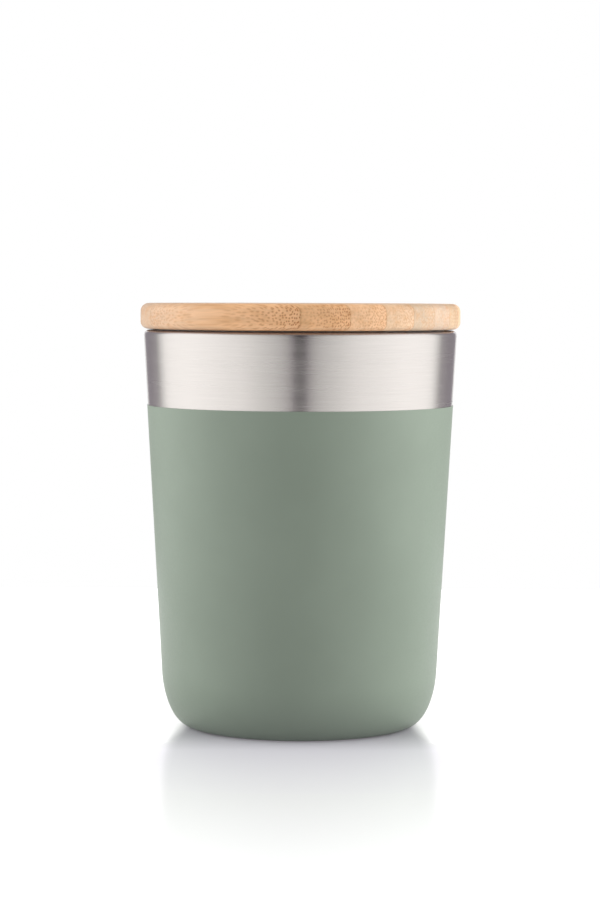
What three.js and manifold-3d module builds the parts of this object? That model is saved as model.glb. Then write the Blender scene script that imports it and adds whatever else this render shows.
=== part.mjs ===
// Insulated mug with a push-in bamboo lid.
// Two steel walls are welded together at the rim, and the space between them is closed at the
// bottom and pumped empty. The lid is a disc of glued bamboo strips on a moulded plug with a gasket.
// Millimetres, +Z up. The origin is on the floor, on the mug's axis. The front faces -Y.
import * as THREE from "three";
import { mergeVertices } from "three/addons/utils/BufferGeometryUtils.js";
import Module from "manifold-3d";

const wasm = await Module();
wasm.setup();

// Cup, outside
const CUP_HEIGHT = 104.1; // floor to the top of the rolled rim
const RIM_RADIUS = 41.2; // outer wall's straight run, carried up to the rim's height
const FOOT_RADIUS = 35.42; // the same run, carried down to the floor
const HEEL_WIDTH = 6.0; // how far the rounded heel draws in
const HEEL_HEIGHT = 13.9; // how far up the wall the heel's rounding reaches
const HEEL_STAND = 0.3; // heel's height above the floor
const RIM_ROUND = 1.2; // radius of the rolled rim, on each wall
const WELD_FLAT = 0.15; // flat beside the weld line on top of the rim, on each wall
const COAT_TOP = 84.45; // height of the powder coat's upper edge
const COAT = 0.1; // thickness of the powder coat

// Cup, inside
const SHEET = 0.5; // steel of the walls and plates
const VACUUM_GAP = 3.4; // between the two walls, below the shoulder
const LAND = 9.0; // straight run in the mouth, where the gasket seals
const SHOULDER = 8.0; // height of the step from the land to the inner wall's slope
const FLOOR_HEIGHT = 10.0; // inside floor above the surface that the mug stands on
const INNER_ROUND = 10.0; // radius between the inner wall and its floor
const DISH_EDGE = 2.0; // straight edge of the inner bottom above that radius, up to its weld
const FLOOR_DOME = 0.8; // rise of the inner bottom's middle
const FLOOR_DOME_RADIUS = 12.0; // radius of that raised middle
const FOIL = 0.1; // copper foil
const FOIL_MARGIN = 4.0; // bare height left at each end of the foil

// Bottom of the cup
const FLANGE = 0.9; // flat of the outer wall inside the heel
const FOOT_LAND = 2.2; // width of the flat ring that the mug stands on
const FOOT_STEP = 0.6; // slope from the flange down to that ring
const BASE_RECESS = 1.8; // height of the base plate's middle above the floor
const BASE_SLOPE = 1.6; // run of the slope from the foot ring up to the middle
const PLATE_HEIGHT = 4.4; // top of the closing plate above the floor
const VENT_RADIUS = 1.0; // hole that the air is pumped out through
const VENT_CUP = 4.5; // raised middle of the closing plate, round the vent
const VENT_RISE = 1.0; // height of that raised middle
const SEAL_RADIUS = 3.4; // bead of solder glass under the vent
const GETTER_RADIUS = 4.0;
const GETTER_HEIGHT = 2.4;
const GETTER_OFFSET = 14.0; // getter's middle from the mug's axis
const STRAP = 0.4; // sheet of the getter's bracket
const STRAP_WIDTH = 5.0;
const STRAP_FOOT = 2.6; // length of each of the bracket's feet

// Lid
const LID_OVERHANG = 0.8; // disc's edge past the outer wall's line at the rim
const LID_THICKNESS = 6.7;
const LID_TOP_ROUND = 2.1; // radius along the disc's upper edge
const LID_UNDER_ROUND = 1.9; // radius along its lower edge
const GRAIN_ANGLE = 57; // degrees from +X to the direction across the strips
const STRIP_COUNT = 11; // bamboo strips across the disc
const FIRST_STRIP_SHARE = 0.82; // share of the first strip's width that the disc's edge leaves
const LAST_STRIP_SHARE = 0.3; // and of the last strip's
const GLUE_LINE = 0.1; // between two strips
const SOCKET_DEPTH = 1.0; // recess under the disc that takes the plug's flange
const PLUG_FLANGE = 1.6; // height of the plug's flange under the disc
const PLUG_WALL = 1.8; // moulded wall of the plug
const PLUG_CHAMFER = 1.0; // along the plug's lower edge
const GROOVE_DEPTH = 1.5; // groove for the gasket
const GROOVE_HEIGHT = 5.0;
const FIN_TIP = 0.5; // thickness of a gasket fin at its tip
const FIN_ROOT = 1.3; // and at its root
const FIN_LIFT = 0.5; // how far a fin's tip stands above its root

// Fits
const BOND = 0.05; // line left between pieces that are welded, coated or glued together
const LID_SEAT = 0.3; // rim to the underside of the lid
const FLANGE_PLAY = 0.6; // plug's flange to the mouth
const PLUG_PLAY = 1.2; // plug's side to the mouth
const GASKET_PLAY = 0.15; // gasket's fins to the mouth
const SOCKET_PLAY = 0.2; // plug's flange to the recess in the disc

// Roundness of the model
const SEGMENTS = 40; // flats round each turned piece
const HEEL_STEPS = 6;
const ROUND_STEPS = 3;
const SHOULDER_STEPS = 4;

const QUARTER = Math.PI / 2;
const point = (r, z) => new THREE.Vector2(r, z);

const STEEL = new THREE.MeshStandardMaterial({ color: 0xcfcbc7, roughness: 0.32, metalness: 1 });
const GREEN_COAT = new THREE.MeshStandardMaterial({ color: 0x8c9a8a, roughness: 0.55, metalness: 0 });
const COPPER = new THREE.MeshStandardMaterial({ color: 0xc47a52, roughness: 0.3, metalness: 1 });
const GETTER_ALLOY = new THREE.MeshStandardMaterial({ color: 0x55544f, roughness: 0.8, metalness: 0.6 });
const SOLDER_GLASS = new THREE.MeshStandardMaterial({ color: 0x3c4a4c, roughness: 0.15, metalness: 0 });
const BAMBOO = new THREE.MeshStandardMaterial({ color: 0xe0b98c, roughness: 0.6, metalness: 0 });
const PLUG_PLASTIC = new THREE.MeshStandardMaterial({ color: 0xd9d8d2, roughness: 0.45, metalness: 0 });
const SILICONE = new THREE.MeshStandardMaterial({ color: 0xe4e4e0, roughness: 0.5, metalness: 0 });

// Points of an arc about a centre, from one angle to another, both ends included.
function arc(centre, radius, from, to, steps) {
  return Array.from({ length: steps + 1 }, (_, i) => {
    const angle = from + ((to - from) * i) / steps;
    return point(centre.x + radius * Math.cos(angle), centre.y + radius * Math.sin(angle));
  });
}

// A line moved to its left by a distance, with mitred corners.
function offsetLine(line, distance) {
  const left = line.slice(1).map((end, i) => {
    const along = end.clone().sub(line[i]).normalize();
    return point(-along.y, along.x);
  });
  return line.map((corner, i) => {
    const before = left[Math.max(i - 1, 0)];
    const after = left[Math.min(i, left.length - 1)];
    const mitre = before.clone().add(after).multiplyScalar(distance / (1 + before.dot(after)));
    return corner.clone().add(mitre);
  });
}

// Outline of a sheet that has this line as one face and lies to its left.
function sheetOutline(line, thickness) {
  return [...line, ...offsetLine(line, thickness).reverse()];
}

// Solid of revolution. An outline that starts on the axis ends on it, and any other is closed.
function turned(outline, phase = 0) {
  const points = THREE.ShapeUtils.area(outline) < 0 ? [...outline].reverse() : [...outline];
  if (points[0].x > 0) points.push(points[0].clone());
  return new THREE.LatheGeometry(points, SEGMENTS, phase).rotateX(QUARTER);
}

// A geometry as a solid that can be cut.
function solidOf(geometry) {
  const bare = geometry.clone();
  bare.deleteAttribute("normal");
  bare.deleteAttribute("uv");
  const merged = mergeVertices(bare);
  const vertProperties = merged.attributes.position.array;
  return new wasm.Manifold(new wasm.Mesh({ numProp: 3, vertProperties, triVerts: merged.index.array }));
}

// A cut solid as a geometry again.
function geometryOf(solid) {
  const { vertProperties, triVerts } = solid.getMesh();
  const geometry = new THREE.BufferGeometry();
  geometry.setAttribute("position", new THREE.BufferAttribute(vertProperties, 3));
  geometry.setIndex(new THREE.BufferAttribute(triVerts, 1));
  geometry.computeVertexNormals();
  return geometry;
}

function part(name, geometry, material) {
  const mesh = new THREE.Mesh(geometry, material);
  mesh.name = name;
  return mesh;
}

// Lines that several pieces share

// Outside of the outer wall on its straight run.
const wallRadius = (z) => THREE.MathUtils.mapLinear(z, 0, CUP_HEIGHT, FOOT_RADIUS, RIM_RADIUS);

// Drink side of the inner wall on its straight run.
const linerRadius = (z) => wallRadius(z) - 2 * SHEET - VACUUM_GAP;

const rimFoot = CUP_HEIGHT - RIM_ROUND; // height where the rim's rounding starts
const rimCentre = wallRadius(rimFoot) - RIM_ROUND; // centre of the outer wall's rounding
const lipCentre = rimCentre - 2 * WELD_FLAT - BOND; // centre of the inner wall's rounding
const mouthRadius = lipCentre - RIM_ROUND; // land that the gasket seals on
const landBottom = rimFoot - LAND;
const shoulderBottom = landBottom - SHOULDER;
const linerRoundTop = FLOOR_HEIGHT + INNER_ROUND;
const floorRadius = linerRadius(linerRoundTop) - INNER_ROUND; // flat of the inside floor
const dishTop = linerRoundTop + DISH_EDGE; // weld between the inner wall and the inner bottom

// Quarter ellipse of the heel, from the floor up to the wall.
function heelLine() {
  return Array.from({ length: HEEL_STEPS + 1 }, (_, i) => {
    const turn = (QUARTER * i) / HEEL_STEPS;
    const z = HEEL_STAND + HEEL_HEIGHT * (1 - Math.cos(turn));
    return point(wallRadius(z) - HEEL_WIDTH * (1 - Math.sin(turn)), z);
  });
}

const heel = heelLine();
const flangeRadius = heel[0].x - FLANGE; // inner edge of the outer wall's bottom
const flangeTop = HEEL_STAND + SHEET;

// Cup

function outerWall() {
  const rim = arc(point(rimCentre, rimFoot), RIM_ROUND, 0, QUARTER, ROUND_STEPS);
  const weld = point(rimCentre - WELD_FLAT, CUP_HEIGHT);
  const outside = [point(flangeRadius, HEEL_STAND), ...heel, ...rim, weld];
  return part("outer_wall", turned(sheetOutline(outside, SHEET)), STEEL);
}

function powderCoat() {
  const coated = [...heel, point(wallRadius(COAT_TOP), COAT_TOP)];
  const under = offsetLine(coated, -BOND);
  return part("powder_coat", turned(sheetOutline(under, -COAT)), GREEN_COAT);
}

// Smooth step between the land and the inner wall's slope.
function shoulderLine() {
  const narrow = linerRadius(shoulderBottom);
  return Array.from({ length: SHOULDER_STEPS + 1 }, (_, i) => {
    const share = i / SHOULDER_STEPS;
    const ease = (1 - Math.cos(Math.PI * share)) / 2;
    return point(THREE.MathUtils.lerp(mouthRadius, narrow, ease), landBottom - SHOULDER * share);
  });
}

function innerWall() {
  const weld = point(lipCentre + WELD_FLAT, CUP_HEIGHT);
  const lip = arc(point(lipCentre, rimFoot), RIM_ROUND, QUARTER, 2 * QUARTER, ROUND_STEPS);
  const joint = point(linerRadius(dishTop), dishTop);
  const drinkSide = [weld, ...lip, ...shoulderLine(), joint];
  return part("inner_wall", turned(sheetOutline(drinkSide, SHEET)), STEEL);
}

// Pressed dish with a raised middle.
function innerBottom() {
  const edge = dishTop - BOND;
  const drinkSide = [
    point(0, FLOOR_HEIGHT + FLOOR_DOME),
    point(FLOOR_DOME_RADIUS, FLOOR_HEIGHT + FLOOR_DOME),
    point((FLOOR_DOME_RADIUS + floorRadius) / 2, FLOOR_HEIGHT),
    ...arc(point(floorRadius, linerRoundTop), INNER_ROUND, -QUARTER, 0, ROUND_STEPS + 1),
    point(linerRadius(edge), edge),
  ];
  return part("inner_bottom", turned(sheetOutline(drinkSide, -SHEET)), STEEL);
}

function copperFoil() {
  const low = dishTop + FOIL_MARGIN;
  const high = shoulderBottom - FOIL_MARGIN;
  const wrapped = [low, high].map((z) => point(linerRadius(z), z));
  const inside = offsetLine(wrapped, -SHEET - BOND);
  return part("copper_foil", turned(sheetOutline(inside, -FOIL)), COPPER);
}

// Bottom of the cup

function closingPlate() {
  const skirt = flangeRadius + SHEET + BOND;
  const upper = [
    point(skirt, flangeTop + BOND),
    point(skirt, PLATE_HEIGHT),
    point(VENT_CUP + VENT_RISE, PLATE_HEIGHT),
    point(VENT_CUP, PLATE_HEIGHT + VENT_RISE),
    point(VENT_RADIUS, PLATE_HEIGHT + VENT_RISE),
  ];
  return part("closing_plate", turned(sheetOutline(upper, SHEET)), STEEL);
}

function ventSeal() {
  const plateUnder = PLATE_HEIGHT - SHEET;
  const cupUnder = plateUnder + VENT_RISE - BOND;
  const stem = VENT_RADIUS - BOND;
  const bead = [
    point(0, plateUnder),
    point(SEAL_RADIUS / 2, plateUnder),
    point(SEAL_RADIUS, cupUnder),
    point(stem, cupUnder),
    point(stem, PLATE_HEIGHT + VENT_RISE),
    point(0, PLATE_HEIGHT + VENT_RISE),
  ];
  return part("vent_seal", turned(bead), SOLDER_GLASS);
}

function getter() {
  const low = PLATE_HEIGHT + BOND;
  const pellet = [
    point(0, low),
    point(GETTER_RADIUS, low),
    point(GETTER_RADIUS, low + GETTER_HEIGHT),
    point(0, low + GETTER_HEIGHT),
  ];
  const mesh = part("getter", turned(pellet), GETTER_ALLOY);
  mesh.position.x = GETTER_OFFSET;
  return mesh;
}

// Strap bent over the getter, with a foot on the closing plate at each end.
function getterBracket() {
  const low = PLATE_HEIGHT + BOND;
  const side = GETTER_RADIUS + BOND;
  const bridge = low + GETTER_HEIGHT + BOND;
  const foot = side + STRAP_FOOT;
  const under = [
    point(-foot, low),
    point(-side - STRAP, low),
    point(-side, low + STRAP),
    point(-side, bridge),
    point(side, bridge),
    point(side, low + STRAP),
    point(side + STRAP, low),
    point(foot, low),
  ];
  const shape = new THREE.Shape(sheetOutline(under, STRAP));
  const strap = new THREE.ExtrudeGeometry(shape, { depth: STRAP_WIDTH, bevelEnabled: false });
  strap.translate(0, 0, -STRAP_WIDTH / 2).rotateX(QUARTER).rotateZ(QUARTER);
  const mesh = part("getter_bracket", strap, STEEL);
  mesh.position.x = GETTER_OFFSET;
  return mesh;
}

function basePlate() {
  const edge = flangeRadius - BOND;
  const footOut = edge - FOOT_STEP;
  const footIn = footOut - FOOT_LAND;
  const under = [
    point(0, BASE_RECESS),
    point(footIn - BASE_SLOPE, BASE_RECESS),
    point(footIn, 0),
    point(footOut, 0),
    point(edge, HEEL_STAND),
  ];
  return part("base_plate", turned(sheetOutline(under, SHEET)), STEEL);
}

// Lid, in its own frame: 0 is the underside of the bamboo disc

const lidRadius = RIM_RADIUS + LID_OVERHANG;
const flangeOut = mouthRadius - FLANGE_PLAY;
const plugSide = mouthRadius - PLUG_PLAY;
const grooveRadius = plugSide - GROOVE_DEPTH;
const plugBottom = -(LID_SEAT + RIM_ROUND + LAND);
const grooveMiddle = plugBottom + LAND / 2;
const grooveLow = grooveMiddle - GROOVE_HEIGHT / 2;
const grooveHigh = grooveMiddle + GROOVE_HEIGHT / 2;

function discOutline() {
  const socket = flangeOut + SOCKET_PLAY;
  const under = point(lidRadius - LID_UNDER_ROUND, LID_UNDER_ROUND);
  const top = point(lidRadius - LID_TOP_ROUND, LID_THICKNESS - LID_TOP_ROUND);
  return [
    point(0, SOCKET_DEPTH),
    point(socket, SOCKET_DEPTH),
    point(socket, 0),
    ...arc(under, LID_UNDER_ROUND, -QUARTER, 0, ROUND_STEPS),
    ...arc(top, LID_TOP_ROUND, 0, QUARTER, ROUND_STEPS),
    point(0, LID_THICKNESS),
  ];
}

// Places of the glue lines across the disc, with its two edges.
function stripJoints() {
  const pitch = (2 * lidRadius) / (STRIP_COUNT - 2 + FIRST_STRIP_SHARE + LAST_STRIP_SHARE);
  const start = FIRST_STRIP_SHARE * pitch - lidRadius;
  const joints = Array.from({ length: STRIP_COUNT - 1 }, (_, i) => start + i * pitch);
  return [-lidRadius - GLUE_LINE, ...joints, lidRadius + GLUE_LINE];
}

// The disc is turned after glueing, so each strip is the disc between two glue lines.
function bambooStrips() {
  const angle = THREE.MathUtils.degToRad(GRAIN_ANGLE);
  const disc = solidOf(turned(discOutline(), -angle));
  const joints = stripJoints();
  const strips = new THREE.Group();
  joints.slice(1).forEach((end, i) => {
    const width = end - joints[i] - GLUE_LINE;
    const slab = new THREE.BoxGeometry(width, 3 * lidRadius, 3 * LID_THICKNESS);
    slab.translate((end + joints[i]) / 2, 0, 0);
    const strip = geometryOf(disc.intersect(solidOf(slab)));
    strips.add(part(`bamboo_strip_${i + 1}`, strip, BAMBOO));
  });
  strips.rotation.z = angle;
  return strips;
}

function lidPlug() {
  const inside = grooveRadius - PLUG_WALL;
  const top = SOCKET_DEPTH - BOND;
  const dish = [
    point(0, plugBottom),
    point(plugSide - PLUG_CHAMFER, plugBottom),
    point(plugSide, plugBottom + PLUG_CHAMFER),
    point(plugSide, grooveLow),
    point(grooveRadius, grooveLow),
    point(grooveRadius, grooveHigh),
    point(plugSide, grooveHigh),
    point(plugSide, -PLUG_FLANGE),
    point(flangeOut, -PLUG_FLANGE),
    point(flangeOut, top),
    point(inside, top),
    point(inside, plugBottom + PLUG_WALL),
    point(0, plugBottom + PLUG_WALL),
  ];
  return part("lid_plug", turned(dish), PLUG_PLASTIC);
}

// Ring in the groove with two fins that lean upwards to the mouth.
function lidGasket() {
  const back = grooveRadius + BOND;
  const tip = mouthRadius - GASKET_PLAY;
  const low = grooveLow + BOND;
  const high = grooveHigh - BOND;
  const fin = (root) => [
    point(plugSide, root),
    point(tip, root + FIN_LIFT),
    point(tip, root + FIN_LIFT + FIN_TIP),
    point(plugSide, root + FIN_ROOT),
  ];
  const ring = [
    point(back, low),
    ...fin(low),
    ...fin(high - FIN_ROOT - FIN_LIFT),
    point(plugSide, high),
    point(back, high),
  ];
  return part("lid_gasket", turned(ring), SILICONE);
}

const lid = new THREE.Group();
lid.add(bambooStrips(), lidPlug(), lidGasket());
lid.position.z = CUP_HEIGHT + LID_SEAT;

const mug = new THREE.Group();
mug.add(outerWall(), powderCoat(), innerWall(), innerBottom(), copperFoil());
mug.add(closingPlate(), ventSeal(), getter(), getterBracket(), basePlate());
mug.add(lid);

export default mug;
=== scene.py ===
"""Insulated mug with a push-in bamboo lid: the finished surfaces around its solid model.

Every new surface is an outline carried round the mug's axis, worked out with numpy in the model's own
frame: metres, +Z up, the mug's front to -Y, the origin on the floor below the mug.
"""
import math

import bpy
import numpy as np
from mathutils import Matrix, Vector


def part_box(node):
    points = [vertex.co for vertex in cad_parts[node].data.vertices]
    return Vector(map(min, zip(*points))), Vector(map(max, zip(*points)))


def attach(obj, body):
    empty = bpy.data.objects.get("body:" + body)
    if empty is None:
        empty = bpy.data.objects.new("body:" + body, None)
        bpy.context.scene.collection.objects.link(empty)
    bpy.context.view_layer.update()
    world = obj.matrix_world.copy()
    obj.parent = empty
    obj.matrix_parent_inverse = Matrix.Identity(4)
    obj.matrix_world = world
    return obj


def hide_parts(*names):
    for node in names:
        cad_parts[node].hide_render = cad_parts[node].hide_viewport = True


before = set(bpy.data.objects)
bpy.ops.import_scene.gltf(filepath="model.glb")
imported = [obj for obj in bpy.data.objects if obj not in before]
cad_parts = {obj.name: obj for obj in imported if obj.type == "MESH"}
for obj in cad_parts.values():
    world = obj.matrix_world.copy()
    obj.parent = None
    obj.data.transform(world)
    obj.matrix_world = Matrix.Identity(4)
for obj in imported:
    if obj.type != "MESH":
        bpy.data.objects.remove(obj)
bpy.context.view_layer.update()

MM = 0.001

# Boxes of the solid model that the finished pieces take their heights and reach from
WALL_LOW, WALL_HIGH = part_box("outer_wall")
COAT_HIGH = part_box("powder_coat")[1]
DISH_LOW, DISH_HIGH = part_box("inner_bottom")
PLATE_LOW, PLATE_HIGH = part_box("closing_plate")
SEAL_LOW, SEAL_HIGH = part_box("vent_seal")
GETTER_LOW, GETTER_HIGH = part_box("getter")
BASE_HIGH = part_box("base_plate")[1]
FOIL_LOW, FOIL_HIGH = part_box("copper_foil")
PLUG_LOW, PLUG_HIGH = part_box("lid_plug")
GASKET_LOW, GASKET_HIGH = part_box("lid_gasket")
STRIPS = sorted(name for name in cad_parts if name.startswith("bamboo_strip_"))
LID_LOW = np.min([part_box(strip)[0] for strip in STRIPS], axis=0)
LID_HIGH = np.max([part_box(strip)[1] for strip in STRIPS], axis=0)

# Cup, outside
CUP_HEIGHT = WALL_HIGH.z
HEEL_STAND = WALL_LOW.z
COAT_TOP = COAT_HIGH.z
RIM_RADIUS = 41.2 * MM
FOOT_RADIUS = 35.42 * MM
HEEL_WIDTH = 6.0 * MM
HEEL_HEIGHT = 13.9 * MM
RIM_ROUND = 1.2 * MM
WELD_FLAT = 0.15 * MM
FLANGE = 0.9 * MM
COAT = 0.1 * MM
BOND = 0.05 * MM

# Cup, inside
SHEET = 0.5 * MM
VACUUM_GAP = 3.4 * MM
LAND = 9.0 * MM
SHOULDER = 8.0 * MM
DISH_TOP = DISH_HIGH.z
FLOOR_HEIGHT = DISH_LOW.z + SHEET
INNER_ROUND = 10.0 * MM
FLOOR_DOME = 0.8 * MM
FLOOR_DOME_RADIUS = 12.0 * MM
FOIL = 0.1 * MM
CRINKLE = 0.25 * MM
CREASE = 4.0 * MM
# Waves of the foil's creases: how many go round the wall, and how far each leans over a crease's height
FOIL_WAVES = ((7, 0.6), (11, -0.9), (5, 1.7))
FOIL_FOLDS = 2

# Bottom of the cup
FOOT_LAND = 2.2 * MM
FOOT_STEP = 0.6 * MM
BASE_SLOPE = 1.6 * MM
VENT_RADIUS = 1.0 * MM
VENT_CUP = 4.5 * MM
VENT_RISE = 1.0 * MM
BEAD_ROUND = 0.5 * MM
BEAD_SOFT = 0.2 * MM
GETTER_SOFT = 0.3 * MM

# Lid
LID_RADIUS = LID_HIGH[0]
LID_TOP_ROUND = 2.1 * MM
LID_UNDER_ROUND = 1.9 * MM
SOCKET_DEPTH = 1.0 * MM
SOCKET_PLAY = 0.2 * MM
GRAIN_ANGLE = math.radians(57)
STRIP_PITCH = 8.3 * MM
FIRST_JOINT = -35.2 * MM
PLUG_FLANGE = 1.6 * MM
PLUG_WALL = 1.8 * MM
PLUG_PLAY = 0.6 * MM
PLUG_HEEL = 1.2 * MM
PLUG_SOFT = 0.4 * MM
GROOVE_DEPTH = 1.5 * MM
FIN_LIFT = 0.5 * MM
FIN_ROOT = 1.3 * MM
FIN_POINT = 0.5 * MM
FIN_SOFT = 0.2 * MM
FIN_ROOT_SOFT = 0.3 * MM

# Tone of each strip, from the front left to the back right, and how dark its fibre bundles are
STRIP_TONES = (
    ("efbd8e", 0.85),
    ("ecba8a", 0.85),
    ("efc297", 0.65),
    ("e2c09d", 0.5),
    ("ceb69b", 0.45),
    ("d0b8a0", 0.45),
    ("d1b696", 0.7),
    ("eac6a3", 0.5),
    ("e7bb8f", 0.75),
    ("ebc49e", 0.6),
    ("edcaaa", 0.5),
)

# Fineness of the finished surfaces
TURN_STEPS = 240
ARC_POINTS = 12
LONGEST_STEP = 2.0 * MM
SHARP_EDGE = math.radians(40)
SAME_PLACE = 1e-9

# Camera, found from the outlines of the lid, rim, coat and heel in the photograph's frame
CAMERA_PLACE = (0.0, -659.6 * MM, 113.6 * MM)
CAMERA_DIP = 0.0625
CAMERA_ROLL = 0.0035
CAMERA_LENS = 100.0
CAMERA_SENSOR = 36.0


# Outlines: arrays of (radius, height)

def arc(centre, radius, start, end, count=ARC_POINTS):
    """Points at centre + radius (cos t, sin t), for t from start to end in degrees."""
    turn = np.radians(np.linspace(start, end, count))
    return np.array(centre) + radius * np.stack([np.cos(turn), np.sin(turn)], axis=1)


def offset(line, distance):
    """The line moved to its left: each point goes along the mean of its sides' normals, mitred."""
    along = np.diff(line, axis=0)
    along /= np.linalg.norm(along, axis=1, keepdims=True)
    left = np.stack([-along[:, 1], along[:, 0]], axis=1)
    before = np.concatenate([left[:1], left])
    after = np.concatenate([left, left[-1:]])
    mitre = (before + after) / (1 + np.sum(before * after, axis=1, keepdims=True))
    return line + distance * mitre


def sheet(line, thickness):
    """Outline of a sheet with this line as one face and the sheet to the line's left."""
    return np.concatenate([line, offset(line, thickness)[::-1]])


def rounded(corners):
    """Outline through corners (radius, height, fillet), with each corner turned into its fillet.

    The fillet's centre lies on the corner's bisector, and its arc runs between the points where the
    circle touches the two sides. A fillet of 0 leaves the corner sharp.
    """
    corners = np.array(corners, float)
    place, fillet = corners[:, :2], corners[:, 2]
    back = np.roll(place, 1, axis=0) - place
    back /= np.linalg.norm(back, axis=1, keepdims=True)
    on = np.roll(back, -1, axis=0) * -1
    half = np.arccos(np.clip(np.sum(back * on, axis=1), -1, 1))[:, None] / 2
    centre = (back + on) / np.linalg.norm(back + on, axis=1, keepdims=True) / np.sin(half)
    first = back / np.tan(half) - centre
    last = on / np.tan(half) - centre
    sweep = (np.pi - 2 * half)[:, None]
    share = np.linspace(0, 1, ARC_POINTS)[None, :, None]
    swept = np.sin((1 - share) * sweep) * first[:, None] + np.sin(share * sweep) * last[:, None]
    outline = place[:, None] + fillet[:, None, None] * (centre[:, None] + swept / np.sin(sweep))
    return without_repeats(outline.reshape(-1, 2))


def without_repeats(outline):
    """The outline without points that lie on the point before them."""
    step = np.linalg.norm(np.diff(outline, axis=0), axis=1)
    return outline[np.concatenate([[True], step > SAME_PLACE])]


def filled(outline):
    """The outline with points added along its long sides, so that no step passes LONGEST_STEP."""
    counts = np.ceil(np.linalg.norm(np.diff(outline, axis=0), axis=1) / LONGEST_STEP).astype(int)
    runs = [np.linspace(a, b, n, endpoint=False) for a, b, n in zip(outline[:-1], outline[1:], counts)]
    return np.concatenate([*runs, outline[-1:]])


# Pieces

def new_object(name, vertices, faces):
    """A smooth mesh object at the origin, with its place in its vertices."""
    mesh = bpy.data.meshes.new(name)
    mesh.from_pydata(vertices, [], faces)
    mesh.polygons.foreach_set("use_smooth", np.ones(len(faces), bool))
    mesh.set_sharp_from_angle(angle=SHARP_EDGE)
    made = bpy.data.objects.new(name, mesh)
    bpy.context.scene.collection.objects.link(made)
    return made


def turned(name, outline, wave=None, middle=0.0):
    """The outline carried round an upright axis: (r, z) at angle a goes to (middle + r sin a, -r cos a, z).

    An outline that starts and ends on the axis gets one vertex at each pole, and any other is joined end
    to start. wave(angle, height), if given, is added to the radius.
    """
    reach, level = outline.T
    if np.sum(reach * np.roll(level, -1) - np.roll(reach, -1) * level) < 0:
        outline = outline[::-1]
    poled = outline[0, 0] < SAME_PLACE
    rings = filled(outline)[1:-1] if poled else filled(np.concatenate([outline, outline[:1]]))[:-1]
    angle = np.linspace(0, 2 * np.pi, TURN_STEPS, endpoint=False)
    radius, height = np.broadcast_arrays(rings[:, :1], rings[:, 1:])
    radius = radius + np.zeros(TURN_STEPS) if wave is None else radius + wave(angle, height)
    height = height + np.zeros(TURN_STEPS)
    grid = np.stack([middle + radius * np.sin(angle), -radius * np.cos(angle), height], axis=-1)
    index = np.arange(grid[..., 0].size).reshape(len(rings), TURN_STEPS)
    beside = np.roll(index, -1, axis=1)
    above, above_beside = np.roll(index, -1, axis=0), np.roll(beside, -1, axis=0)
    faces = np.stack([index, beside, above_beside, above], axis=-1)
    faces = (faces[:-1] if poled else faces).reshape(-1, 4).tolist()
    vertices = grid.reshape(-1, 3)
    if poled:
        poles = np.array([[middle, 0, outline[0, 1]], [middle, 0, outline[-1, 1]]])
        low, high = len(vertices), len(vertices) + 1
        vertices = np.concatenate([vertices, poles])
        faces += [[low, b, a] for a, b in zip(index[0].tolist(), beside[0].tolist())]
        faces += [[a, b, high] for a, b in zip(index[-1].tolist(), beside[-1].tolist())]
    return new_object(name, vertices, faces)


def fitted(piece, material, body, slot, *nodes):
    """Gives a piece its material, the body that it moves with and the solids it stands for. Its slot is not
    used.
    """
    piece.data.materials.append(material)
    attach(piece, body)
    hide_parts(*nodes)


# Lines of the cup that several pieces share

RIM_FOOT = CUP_HEIGHT - RIM_ROUND
LAND_BOTTOM = RIM_FOOT - LAND
SHOULDER_BOTTOM = LAND_BOTTOM - SHOULDER


def wall_radius(height):
    """Outside of the outer wall: a straight line from the foot's radius to the rim's."""
    return FOOT_RADIUS + (RIM_RADIUS - FOOT_RADIUS) * height / CUP_HEIGHT


def liner_radius(height):
    """Drink side of the inner wall on its slope: the outer wall less two sheets and the vacuum gap."""
    return wall_radius(height) - 2 * SHEET - VACUUM_GAP


RIM_CENTRE = wall_radius(RIM_FOOT) - RIM_ROUND
LIP_CENTRE = RIM_CENTRE - 2 * WELD_FLAT - BOND
MOUTH_RADIUS = LIP_CENTRE - RIM_ROUND
LINER_ROUND_TOP = FLOOR_HEIGHT + INNER_ROUND
FLOOR_RADIUS = liner_radius(LINER_ROUND_TOP) - INNER_ROUND


def heel_line():
    """Quarter ellipse: height b (1 - cos t), drawn in from the wall by a (1 - sin t)."""
    turn = np.linspace(0, np.pi / 2, 3 * ARC_POINTS)
    height = HEEL_STAND + HEEL_HEIGHT * (1 - np.cos(turn))
    return np.stack([wall_radius(height) - HEEL_WIDTH * (1 - np.sin(turn)), height], axis=1)


def outer_wall():
    """The heel's quarter ellipse, the straight wall and a quarter circle over the rim, one sheet thick."""
    rim = arc((RIM_CENTRE, RIM_FOOT), RIM_ROUND, 0, 90)
    heel = heel_line()
    flange = [[heel[0, 0] - FLANGE, HEEL_STAND]]
    weld = [[RIM_CENTRE - WELD_FLAT, CUP_HEIGHT]]
    outside = filled(np.concatenate([flange, heel, rim, weld]))
    return turned("outer_wall_shell", sheet(outside, SHEET))


def powder_coat():
    """The outer wall's line from the heel to the coat's upper edge, moved out by the bond, one coat thick."""
    top = [[wall_radius(COAT_TOP), COAT_TOP]]
    coated = filled(np.concatenate([heel_line(), top]))
    return turned("powder_coat_skin", sheet(offset(coated, -BOND), -COAT))


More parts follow.
